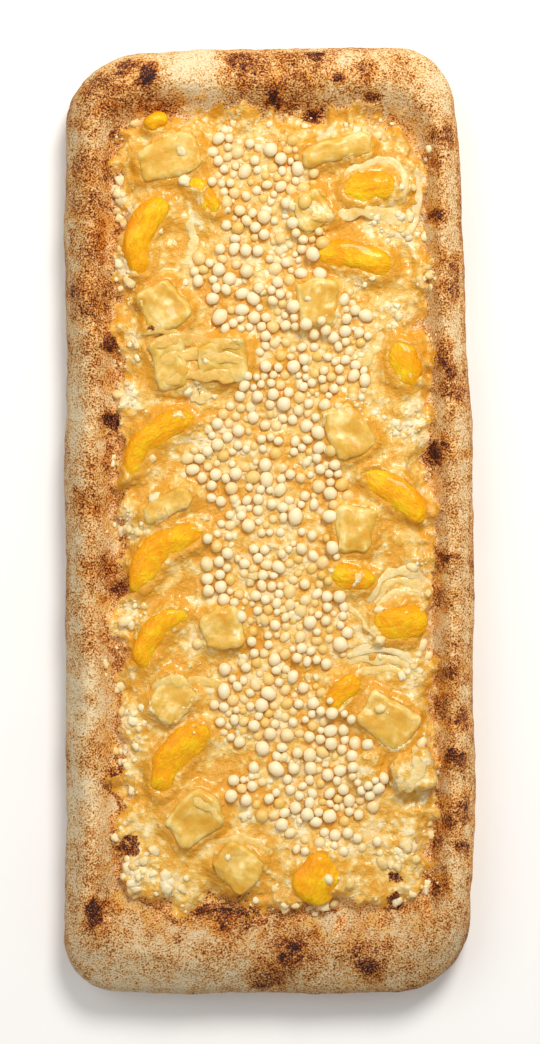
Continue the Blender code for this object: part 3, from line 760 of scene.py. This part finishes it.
def build_crust(sizes):
    bm = plan_grid(0.0, sizes.crust_step / MM)
    hidden = [f for f in bm.faces if all(max(abs(v.co.x), abs(v.co.y)) < 1.0 + 1e-6 for v in f.verts)]
    bmesh.ops.delete(bm, geom=hidden, context="FACES")
    inner = [e for e in bm.edges if e.is_boundary and max(abs(e.verts[0].co.x), abs(e.verts[0].co.y)) < 1.01]
    bmesh.ops.contextual_create(bm, geom=inner)
    rim = [e for e in bm.edges if e.is_boundary]
    layers = [bm.verts.layers.float.new(name) for name in ("baked", "floured", "dull", "soaked")]
    baked, floured, dull, soaked = layers
    for vert in bm.verts:
        x, y, share = ring_point(vert.co.x, vert.co.y, TOP_INSET)
        height = crust_height(x, y, share) + crust_relief(x, y) * (1.0 - smoothstep(0.7, 0.9, share))
        height -= TOP_SOFTENING * max(height - SOFT_TOP, 0.0)
        x, y = hand_shaped(x, y)
        vert[baked] = baked_and_painted_light_level(x, y, share)
        vert[floured] = patch_strength(x, y, FLOURED_PATCHES, 57.0)
        # Painted shade, along the front and down the left side's outside.
        vert[dull] = painted_shade_level(x, y, share)
        vert[soaked] = soaked_level(x, y, share)
        vert.co.z = height
    rim_verts = {vert for edge in rim for vert in edge.verts}
    verts_above = {(round(vert.co.x, 5), round(vert.co.y, 5)): vert for vert in rim_verts}
    edges = rim
    for _, height in SIDE_PROFILE:
        verts, edges = extruded_edge(bm, edges)
        for vert in verts:
            above = verts_above[(round(vert.co.x, 5), round(vert.co.y, 5))]
            vert.co.z = height
            for layer in layers:
                vert[layer] = above[layer]
    bottom = bmesh.ops.contextual_create(bm, geom=edges)["faces"]
    for vert in bm.verts:
        x, y, share = ring_point(vert.co.x, vert.co.y, TOP_INSET)
        if share < 1e-6 and vert.co.z < SHOULDER_HEIGHT - 1.2 and vert not in rim_verts:
            x, y = side_point(vert)
            vert[baked] = side_level(x, y, vert.co.z)
        vert.co = Vector((*hand_shaped(x, y), vert.co.z))
    bmesh.ops.triangulate(bm, faces=bottom)
    return bm


def side_point(vert):
    """A point of the crust's side, with the small dents of a hand-shaped loaf."""
    heights = [height for _, height in SIDE_PROFILE]
    level = min(range(len(heights)), key=lambda index: abs(heights[index] - vert.co.z))
    inset, height = SIDE_PROFILE[level]
    x, y, _ = ring_point(vert.co.x, vert.co.y, inset)
    if height > 0.0:
        place = Vector((x, y, height))
        dent = 0.35 * noise.noise(place / 6.0) + 0.15 * noise.noise(place / 2.2)
        x, y, _ = ring_point(vert.co.x, vert.co.y, inset + 0.35 + dent)
    return x, y


def side_level(x, y, height):
    """How far the crust's side is baked: golden along its belly and pale below."""
    belly = math.exp(-(((height - 12.0) / 6.0) ** 2))
    uneven = 0.14 * noise.noise(Vector((x, y, height * 2.0)) / 14.0)
    return 0.24 + 0.2 * belly + 0.1 * smoothstep(-60.0, 60.0, x) + uneven


# The melted topping.


def surface_tree(pieces):
    """One search tree over the surfaces of several pieces, in metres."""
    places, faces = [], []
    for piece in pieces:
        offset = len(places)
        places.extend(vert.co for vert in piece.data.vertices)
        faces.extend([offset + index for index in face.vertices] for face in piece.data.polygons)
    return BVHTree.FromPolygons(places, faces)


def top_of(surface, x, y):
    """The height in millimetres of a surface under a plan place, seen from above, or None beside it."""
    start = Vector((x * MM, y * MM, 1.0)) + PLAN_SHIFT * MM
    hit, _, _, _ = surface.ray_cast(start, Vector((0.0, 0.0, -1.0)))
    return None if hit is None else hit.z / MM


def curds(x, y):
    """Rounded curds about three millimetres across, from 0 between them to 1 at their tops."""
    distances, _ = noise.voronoi(Vector((x / 3.1, y / 3.1, 61.0)))
    return max(1.0 - 1.6 * distances[0] ** 2, 0.0)


def cream_level(x, y, from_edge):
    """How white and crumbly the topping is: most along its margins."""
    margin = 1.0 - smoothstep(2.0, 9.0, from_edge + 8.0 * ripple(x, y, 9.0, 63.0))
    middle, half = pearl_trail(y)
    strewn = 0.3 * math.exp(-(((x - middle) / half) ** 2))
    return min(margin * 0.3 + strewn + 0.8 * patch_strength(x, y, CREAM_PATCHES, 65.0), 1.0)


def fruit_nearby(x, y, height, fruit):
    """How close a place of the topping lies to the fruit's surface, in millimetres."""
    place = (Vector((x, y, height)) + PLAN_SHIFT) * MM
    nearest, _, _, away = fruit.find_nearest(place, 0.009)
    return 9.0 if nearest is None else away / MM


def film_over(x, y):
    """How fully melted topping covers the piece of fruit at a place, from 0 to 1, with uneven edges."""
    nearest = min(PEACH_SLICES + PINEAPPLE_PIECES, key=lambda row: (row[0] - x) ** 2 + (row[1] - y) ** 2)
    film = 1.3 * nearest[-1] - 0.4 + 0.55 * ripple(x, y, 7.0, 75.0) + 0.25 * ripple(x, y, 2.6, 77.0)
    return smoothstep(0.0, 0.2, film)


def build_topping(sizes, fruit):
    bm = plan_grid(TOPPING_SHARE, sizes.topping_step / MM)
    layers = {name: bm.verts.layers.float.new(name) for name in ("baked", "cream", "syrup", "edge")}
    edges = [e for e in bm.edges if e.is_boundary]
    reach = 2.0 - TOPPING_SHARE
    halfway = (1.0 + reach) / 2 / reach
    for shrinking in (1.0, halfway, 1.0 / reach / halfway):
        verts, edges = extruded_edge(bm, edges)
        for vert in verts:
            vert.co = Vector((vert.co.x * shrinking, vert.co.y * shrinking, 0.0))
    bmesh.ops.contextual_create(bm, geom=edges)
    for vert in bm.verts:
        on_top = vert.co.z > 0.5
        x, y, share = ring_point(vert.co.x, vert.co.y, TOP_INSET)
        height = crust_height(x, y, share) + PIECE_GAP
        if not on_top:
            vert.co = Vector((*hand_shaped(x, y), height - SKIRT_DEPTH))
            continue
        from_edge = inside_recess(x, y, share)
        cover, swell = topping_cover(x, y, share)
        x, y = hand_shaped(x, y)
        cream = cream_level(x, y, from_edge)
        syrup = patch_strength(x, y, SYRUP_POOLS, 67.0) * (1.0 - cream)
        height += cover + 1.4 * max(swell, 0.12) * cream * (curds(x, y) - 0.35)
        height += swell * (0.6 * ripple(x, y, 4.2, 69.0) + 0.22 * ripple(x, y, 1.7, 71.0) - 0.5 * syrup)
        syrup = max(syrup, 0.7 * smoothstep(8.0, -3.0, from_edge) * (1.0 - cream))
        away = fruit_nearby(x, y, height, fruit)
        height += 2.5 * math.exp(-((away / 2.6) ** 2))
        syrup = max(syrup, 0.7 * math.exp(-((away / 3.0) ** 2)) * (1.0 - cream * 0.7))
        under = top_of(fruit, x, y)
        if under is not None:
            film = max(film_over(x, y), smoothstep(0.3, 0.5, patch_strength(x, y, BAKED_SPOTS, 55.0)))
            cream = mix(cream, 0.5, film)
            syrup *= 1.0 - film
            height = max(height, mix(height, under + 0.35, film))
        vert[layers["cream"]] = cream
        vert[layers["syrup"]] = syrup
        bare_side = max(smoothstep(-40.0, -56.0, x), smoothstep(-112.0, -132.0, y))
        vert[layers["edge"]] = 1.0 - smoothstep(0.2, mix(0.65, 1.05, bare_side), swell)
        level = mix(0.4, 0.58, bare_side) + 0.2 * ripple(x, y, 8.0, 59.0)
        vert[layers["baked"]] = max(level, baked_and_painted_light_level(x, y, min(share, 0.9)))
        vert.co = Vector((x, y, height))
    return bm


# Fruit.


def peach_form(length, width, bow):
    """A crescent of peach, whose tone runs from 0 at the stone to 1 at the skin."""
    bm = bmesh.new()
    bmesh.ops.create_uvsphere(bm, u_segments=36, v_segments=32, radius=1.0)
    tone = bm.verts.layers.float.new("tone")
    chord = length / 2
    radius = (chord * chord + bow * bow) / (2.0 * bow)
    sweep = math.asin(chord / radius)
    for vert in bm.verts:
        across, up, along = vert.co
        vert[tone] = 0.5 + 0.5 * across
        blunt = math.sqrt(max(1.0 - abs(along) ** 3, 0.0) / max(1.0 - along * along, 1e-6))
        out = radius + across * blunt * width / 2
        thick = FRUIT_HEIGHT / 2 * (0.84 + 0.16 * across)
        angle = along * sweep
        back = out * math.cos(angle) - radius + bow / 2
        vert.co = Vector((out * math.sin(angle), back, up * blunt * thick))
    return bm


def pineapple_form(length, width):
    """A wedge cut from a pineapple ring, with soft edges, whose tone is 1 along its edges, where a highlight
    is painted, and 0 elsewhere.
    """
    bm = bmesh.new()
    bmesh.ops.create_cube(bm, size=2.0)
    bmesh.ops.subdivide_edges(bm, edges=bm.edges, cuts=19, use_grid_fill=True)
    tone = bm.verts.layers.float.new("tone")
    halves = Vector((length / 2, width / 2, FRUIT_HEIGHT / 2))
    for vert in bm.verts:
        square = Vector([value * half for value, half in zip(vert.co, halves)])
        core = Vector([max(min(v, half - SOFT_EDGE), SOFT_EDGE - half) for v, half in zip(square, halves)])
        outward = (square - core).normalized()
        vert[tone] = min(4.0 * (1.0 - max(abs(value) for value in outward)), 1.0)
        along, across, up = (value / half for value, half in zip(core + outward * SOFT_EDGE, halves))
        blunt = 1.0 - 0.1 * along * along * across * across
        along, across = along * blunt, across * blunt
        bulge = 0.1 * (1.0 - across * across)
        vert.co = Vector(
            (
                (along + bulge) * length / 2,
                across * (1.0 + 0.16 * along) * width / 2,
                (up - 0.07 * (1.0 - along * along) * max(up, 0.0)) * FRUIT_HEIGHT / 2,
            )
        )
    return bm


def place_fruit(bm, node, x, y, turn, covered, number, roughness):
    """Roughens a piece of fruit, keeps its resting places, and sets it where its solid lies."""
    rest = bm.verts.layers.float_vector.new("rest")
    filmed = bm.verts.layers.float.new("filmed")
    bm.normal_update()
    moves = []
    for vert in bm.verts:
        vert[rest] = vert.co * MM + Vector((number * 0.1, 0.0, 0.0))
        place = vert.co + Vector((number * 37.0, 0.0, 0.0))
        dent = roughness * (noise.noise(place / 6.5) - 0.35) + 0.35 * roughness * noise.noise(place / 2.4)
        moves.append((vert, vert.normal * dent))
    for vert, move in moves:
        vert.co += move
    draw = random.Random(f"{node} tilt")
    for axis in "XY":
        tilt = Matrix.Rotation(math.radians(draw.uniform(-FRUIT_TILT, FRUIT_TILT)), 3, axis)
        bmesh.ops.rotate(bm, matrix=tilt, verts=bm.verts)
    lowest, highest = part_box(node)
    middle = (lowest.z + highest.z) / 2 / MM
    bmesh.ops.rotate(bm, matrix=Matrix.Rotation(math.radians(turn), 3, "Z"), verts=bm.verts)
    bmesh.ops.translate(bm, vec=(x, y, middle), verts=bm.verts)
    for vert in bm.verts:
        low = 1.0 - smoothstep(-1.5, 2.5, vert.co.z - middle)
        vert[filmed] = max(low * 0.7, covered) + 0.25 * covered * ripple(vert.co.x, vert.co.y, 6.0, 73.0)
    return bm


def build_fruit(name, rows, form, material, roughness):
    pieces = []
    for number, (x, y, turn, *shape, covered) in enumerate(rows, start=1):
        node = f"{name}_{number:02d}"
        bm = place_fruit(form(*shape), node, x, y, turn, covered, number, roughness)
        pieces.append(finish_piece(f"{node}_flesh", bm, material, [node]))
    return pieces


# Sugar pearls and crumbs.


def pearl_trail(y):
    """The middle and half width of the pearls' trail at one place along the pizza."""
    for before, after in zip(PEARL_TRAIL, PEARL_TRAIL[1:]):
        if y >= after[0]:
            share = (before[0] - y) / (before[0] - after[0])
            return mix(before[1], after[1], share), mix(before[2], after[2], share)
    return PEARL_TRAIL[-1][1:]


def strewn_pearls(sizes, surface, fruit):
    """Places and radii of pearls along the trail, in touching clusters, and whether the melt covers each."""
    draw = random.Random(PEARL_SEED)
    smallest, largest = sizes.smallest_pearl / MM, sizes.largest_pearl / MM
    highest = CAD_BOX[1][2] / MM + 0.5
    pearls = []
    for _ in range(MOST_TRIES):
        if len(pearls) == sizes.pearls:
            return pearls
        y = draw.uniform(PEARL_TRAIL[-1][0] - 4.0, PEARL_TRAIL[0][0])
        middle, half = pearl_trail(y)
        x = draw.gauss(middle, half * PEARL_SPREAD)
        radius = mix(smallest, largest, draw.betavariate(2.2, 2.2))
        if pearls and draw.random() < PEARL_CLUSTERING:
            beside, size, _ = draw.choice(pearls)
            turn = draw.uniform(0.0, math.tau)
            x = beside.x + (radius + size) * CLUSTER_REACH * math.cos(turn)
            y = beside.y + (radius + size) * CLUSTER_REACH * math.sin(turn)
            middle, half = pearl_trail(y)
        if abs(x - middle) > half * 1.3 or ripple(x, y, 13.0, 81.0) < draw.uniform(-0.6, 0.2):
            continue
        if y < PEARL_TRAIL[-1][0] or top_of(fruit, x, y) is not None and draw.random() > PEARLS_ON_FRUIT:
            continue
        covered = draw.random() < COVERED_PEARLS
        lift = draw.uniform(-0.35, 0.0) if covered else draw.uniform(0.1, 0.4)
        height = top_of(surface, x, y) + radius * lift
        place = Vector((x, y, min(height, highest - radius)))
        if all((place - other).length > (radius + size) * LEAST_REACH for other, size, _ in pearls):
            pearls.append((place, radius, covered))
    raise RuntimeError("the trail has no room for so many pearls")


def add_ball(bm, place, radii, turn, subdivisions, uneven, layer):
    """Adds one ball to a mesh, uneven as a boiled sugar or a curd is."""
    made = bmesh.ops.create_icosphere(bm, subdivisions=subdivisions, radius=1.0)["verts"]
    for vert in made:
        swell = 1.0 + uneven * noise.noise(vert.co * 1.3 + Vector((layer, 0.0, 0.0)))
        vert.co = Vector([value * radius * swell for value, radius in zip(vert.co, radii)])
    bmesh.ops.rotate(bm, matrix=Matrix.Rotation(turn, 3, "Z"), verts=made)
    bmesh.ops.translate(bm, vec=place, verts=made)
    return made


def build_pearls(sizes, surface, fruit):
    bm = bmesh.new()
    sunk = bm.verts.layers.float.new("sunk")
    draw = random.Random(PEARL_SEED + 1)
    for number, (place, radius, covered) in enumerate(strewn_pearls(sizes, surface, fruit)):
        long = radius * draw.choice((1.0, 1.0, 1.0, 1.1, 1.25))
        depth = draw.uniform(0.15, 0.5) if covered else draw.uniform(-0.1, 0.12)
        shape, turn = (long, radius, radius * 0.95), draw.uniform(0, HALF_TURN)
        for vert in add_ball(bm, place, shape, turn, 2, 0.16, number * 7.3):
            # Covered pearls take the melt's colour; low on every pearl the tint is partly melt and partly
            # painted shade.
            vert[sunk] = depth + 1.0 - smoothstep(-0.1, 0.42, (vert.co.z - place.z) / radius)
    return bm


def build_crumbs(sizes, surface, fruit):
    """Crumbs of white cream along the topping's margins, on the rim's inner slope and in patches."""
    draw = random.Random(PEARL_SEED + 2)
    bm = bmesh.new()
    warm = bm.verts.layers.float.new("warm")
    left, right, front, back = RECESS_BOX
    made = 0
    for _ in range(MOST_TRIES):
        if made == sizes.crumbs:
            return bm
        x, y = draw.uniform(left - 5.0, right + 3.0), draw.uniform(front - 4.0, back + 2.0)
        from_edge = min(x - left, right - x, y - front, back - y)
        wanted = 1.1 * cream_level(x, y, max(from_edge, 0.0)) + 1.1 * ripple(x, y, 9.0, 83.0)
        if wanted - 0.12 * max(-from_edge, 0.0) < draw.uniform(0.3, 1.0):
            continue
        if top_of(fruit, x, y) is not None and draw.random() < 0.85:
            continue
        radius = mix(0.5, 2.1, draw.random() ** 2.0)
        height = top_of(surface, x, y)
        shape = (radius * draw.uniform(0.8, 1.4), radius, radius * draw.uniform(0.4, 0.65))
        subdivisions = 1 if radius < 0.9 else 2
        place = Vector((x, y, height))
        warmth = draw.uniform(-0.15, 0.35)
        for vert in add_ball(bm, place, shape, draw.uniform(0, HALF_TURN), subdivisions, 0.6, made * 5.1):
            vert[warm] = warmth
        made += 1
    raise RuntimeError("the margins have no room for so many crumbs")


def on_curve(points, share):
    """A point on the smooth curve through several points, at a share of the way."""
    place = share * (len(points) - 1)
    index = min(int(place), len(points) - 2)
    before, start, end, after = (points[min(max(index + step, 0), len(points) - 1)] for step in (-1, 0, 1, 2))
    part = place - index
    pull = (start - before + end - after) * part * (1.0 - part) * 0.5
    return start.lerp(end, part) + pull * 0.5


def build_strands(surface):
    """Strands and shreds of melted cream, flattened and draped over whatever lies under them."""
    bm = bmesh.new()
    warm = bm.verts.layers.float.new("warm")
    steps, sides = 28, 12
    for number, (width, warmth, *path) in enumerate(MELTED_STRANDS):
        points = [Vector(point) for point in path]
        places = []
        for step in range(steps + 1):
            flat = on_curve(points, step / steps)
            flat += Vector((ripple(*flat, 6.0, 91.0 + number), ripple(*flat, 6.0, 93.0 + number))) * 1.2
            places.append(Vector((*flat, top_of(surface, *flat))))
        for _ in range(3):
            heights = [place.z for place in places]
            for index in range(1, steps):
                level = (heights[index - 1] + heights[index] + heights[index + 1]) / 3
                places[index].z = max(level, heights[index] - 0.4)
        ring = bmesh.ops.create_circle(bm, segments=sides, radius=1.0)["verts"]
        edges = [edge for edge in bm.edges if edge.is_wire and edge.verts[0] in ring]
        flat_ring = [vert.co.copy() for vert in ring]
        start = edges
        for step, place in enumerate(places):
            ahead = places[min(step + 1, steps)] - places[max(step - 1, 0)]
            across = Vector((-ahead.y, ahead.x, 0.0)).normalized()
            taper = math.sqrt(max(1.0 - (2.0 * step / steps - 1.0) ** 4, 0.02))
            uneven = 1.0 + 0.7 * noise.noise(Vector((step * 0.19, number * 4.7, 0.0)))
            half = width / 2 * taper * uneven
            for vert, flat in zip(ring, flat_ring):
                fold = 1.0 + 0.6 * noise.noise(Vector((flat.x * 1.7, step * 0.3, number * 3.1)))
                lift = flat.y * (0.22 + 0.1 * half) * taper * fold
                vert.co = place + across * flat.x * half + Vector((0.0, 0.0, lift - 0.1))
                vert[warm] = warmth
            if step == steps:
                break
            verts, edges = extruded_edge(bm, edges)
            after = {edge.other_vert(vert): vert for vert in verts for edge in vert.link_edges}
            ring = [after[vert] for vert in ring]
        bmesh.ops.contextual_create(bm, geom=start)
        bmesh.ops.contextual_create(bm, geom=edges)
    return bm


# Operators, one for each piece or group of like pieces.


def pieces_named(*starts):
    """The pieces made so far whose names start in one of several ways, without the frame's own solids."""
    made = [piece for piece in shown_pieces() if piece.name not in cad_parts]
    return [piece for piece in made if piece.name.startswith(starts)]


class PIZZA_OT_crust(bpy.types.Operator):
    """Bakes the crust: rim, sides and base, with blisters, browned spots and floury grain"""

    bl_idname = "pizza.crust"
    bl_label = "Bake the crust"

    def execute(self, context):
        material = crust_finish(context.scene.pizza_colours)
        bm = build_crust(context.scene.pizza_sizes)
        finish_piece("baked_bread", bm, material, ["crust"])
        return {"FINISHED"}


class PIZZA_OT_peaches(bpy.types.Operator):
    """Lays the peach slices"""

    bl_idname = "pizza.peaches"
    bl_label = "Lay the peaches"

    def execute(self, context):
        material = peach_finish(context.scene.pizza_colours)
        build_fruit("peach_slice", PEACH_SLICES, peach_form, material, 0.9)
        return {"FINISHED"}


class PIZZA_OT_pineapple(bpy.types.Operator):
    """Lays the pineapple pieces"""

    bl_idname = "pizza.pineapple"
    bl_label = "Lay the pineapple"

    def execute(self, context):
        material = pineapple_finish(context.scene.pizza_colours)
        build_fruit("pineapple_piece", PINEAPPLE_PIECES, pineapple_form, material, 1.2)
        return {"FINISHED"}


class PIZZA_OT_topping(bpy.types.Operator):
    """Melts the topping round the fruit"""

    bl_idname = "pizza.topping"
    bl_label = "Melt the topping"

    def execute(self, context):
        fruit = surface_tree(pieces_named("peach_slice", "pineapple_piece"))
        material = topping_finish(context.scene.pizza_colours)
        bm = build_topping(context.scene.pizza_sizes, fruit)
        finish_piece("melted_cream", bm, material, ["topping"])
        return {"FINISHED"}


class PIZZA_OT_pearls(bpy.types.Operator):
    """Strews the sugar pearls and the crumbs of cream"""

    bl_idname = "pizza.pearls"
    bl_label = "Strew pearls and crumbs"

    def execute(self, context):
        sizes, colours = context.scene.pizza_sizes, context.scene.pizza_colours
        fruit = surface_tree(pieces_named("peach_slice", "pineapple_piece"))
        surface = surface_tree(pieces_named("peach_slice", "pineapple_piece", "melted_cream", "baked_bread"))
        pearls = build_pearls(sizes, surface, fruit)
        finish_piece("sugar_pearls", pearls, pearl_finish(colours), ["topping"])
        crumbs = build_crumbs(sizes, surface, fruit)
        cream = cream_finish(colours)
        finish_piece("cream_crumbs", crumbs, cream, ["topping"])
        finish_piece("melted_strands", build_strands(surface), cream, ["topping"])
        return {"FINISHED"}


def add_lamp(name, place, power, size, shade):
    """Adds a round lamp that looks at the middle of the pizza."""
    light = bpy.data.lights.new(name, "AREA")
    light.energy = power
    light.shape = "DISK"
    light.size = size
    light.color = shade
    lamp = bpy.data.objects.new(name, light)
    lamp.location = place
    lamp.rotation_euler = (-Vector(place)).to_track_quat("-Z", "Y").to_euler()
    bpy.context.scene.collection.objects.link(lamp)


class PIZZA_OT_stage(bpy.types.Operator):
    """Sets the floor, the lights and the camera"""

    bl_idname = "pizza.stage"
    bl_label = "Set the stage"

    def execute(self, context):
        scene = context.scene
        scene.view_settings.view_transform = "Standard"
        bm = bmesh.new()
        bmesh.ops.create_grid(bm, x_segments=1, y_segments=1, size=3.0)
        mesh = bpy.data.meshes.new("studio_floor")
        bm.to_mesh(mesh)
        bm.free()
        finish = Finish("studio_floor", Roughness=0.9, Specular_IOR_Level=0.1)
        mottle = finish.noise(0.4, 2.0)
        shade = finish.mixed(mottle * 0.05, scene.pizza_colours.floor, (0.9, 0.9, 0.9))
        mesh.materials.append(finish.painted(Base_Color=shade))
        floor = bpy.data.objects.new("studio_floor", mesh)
        scene.collection.objects.link(floor)
        floor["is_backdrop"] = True

        world = bpy.data.worlds.new("studio")
        world.use_nodes = True
        sky = world.node_tree.nodes["Background"].inputs
        sky["Color"].default_value = SKY_COLOUR
        sky["Strength"].default_value = SKY_STRENGTH
        scene.world = world
        for lamp in LAMPS:
            add_lamp(*lamp)

        camera = bpy.data.cameras.new("camera")
        camera.lens = CAMERA_LENS
        eye = bpy.data.objects.new("camera", camera)
        eye.location = (*CAMERA_OVER[:2], scene.pizza_sizes.camera_distance + CAMERA_OVER[2])
        scene.collection.objects.link(eye)
        scene.camera = eye
        return {"FINISHED"}


class PIZZA_PT_panel(bpy.types.Panel):
    """Lists what builds the pizza, with its colours and sizes"""

    bl_label = "Sweet Pizza"
    bl_idname = "PIZZA_PT_panel"
    bl_space_type = "VIEW_3D"
    bl_region_type = "UI"
    bl_category = "Pizza"

    def draw(self, context):
        for operator in OPERATORS:
            self.layout.operator(operator.bl_idname)
        for group in (context.scene.pizza_colours, context.scene.pizza_sizes):
            for name in group.__annotations__:
                self.layout.prop(group, name)


OPERATORS = (
    PIZZA_OT_crust,
    PIZZA_OT_peaches,
    PIZZA_OT_pineapple,
    PIZZA_OT_topping,
    PIZZA_OT_pearls,
    PIZZA_OT_stage,
)
CLASSES = (PizzaColours, PizzaSizes, *OPERATORS, PIZZA_PT_panel)


def register():
    for each in CLASSES:
        bpy.utils.register_class(each)
    bpy.types.Scene.pizza_colours = PointerProperty(type=PizzaColours)
    bpy.types.Scene.pizza_sizes = PointerProperty(type=PizzaSizes)


def unregister():
    del bpy.types.Scene.pizza_sizes
    del bpy.types.Scene.pizza_colours
    for each in reversed(CLASSES):
        bpy.utils.unregister_class(each)


def main():
    register()
    for operator in OPERATORS:
        family, action = operator.bl_idname.split(".")
        getattr(getattr(bpy.ops, family), action)()
    boxes = {"cad": CAD_BOX, "visual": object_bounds()}
    boxes = {name: [list(corner) for corner in box] for name, box in boxes.items()}


if __name__ == "__main__":
    main()
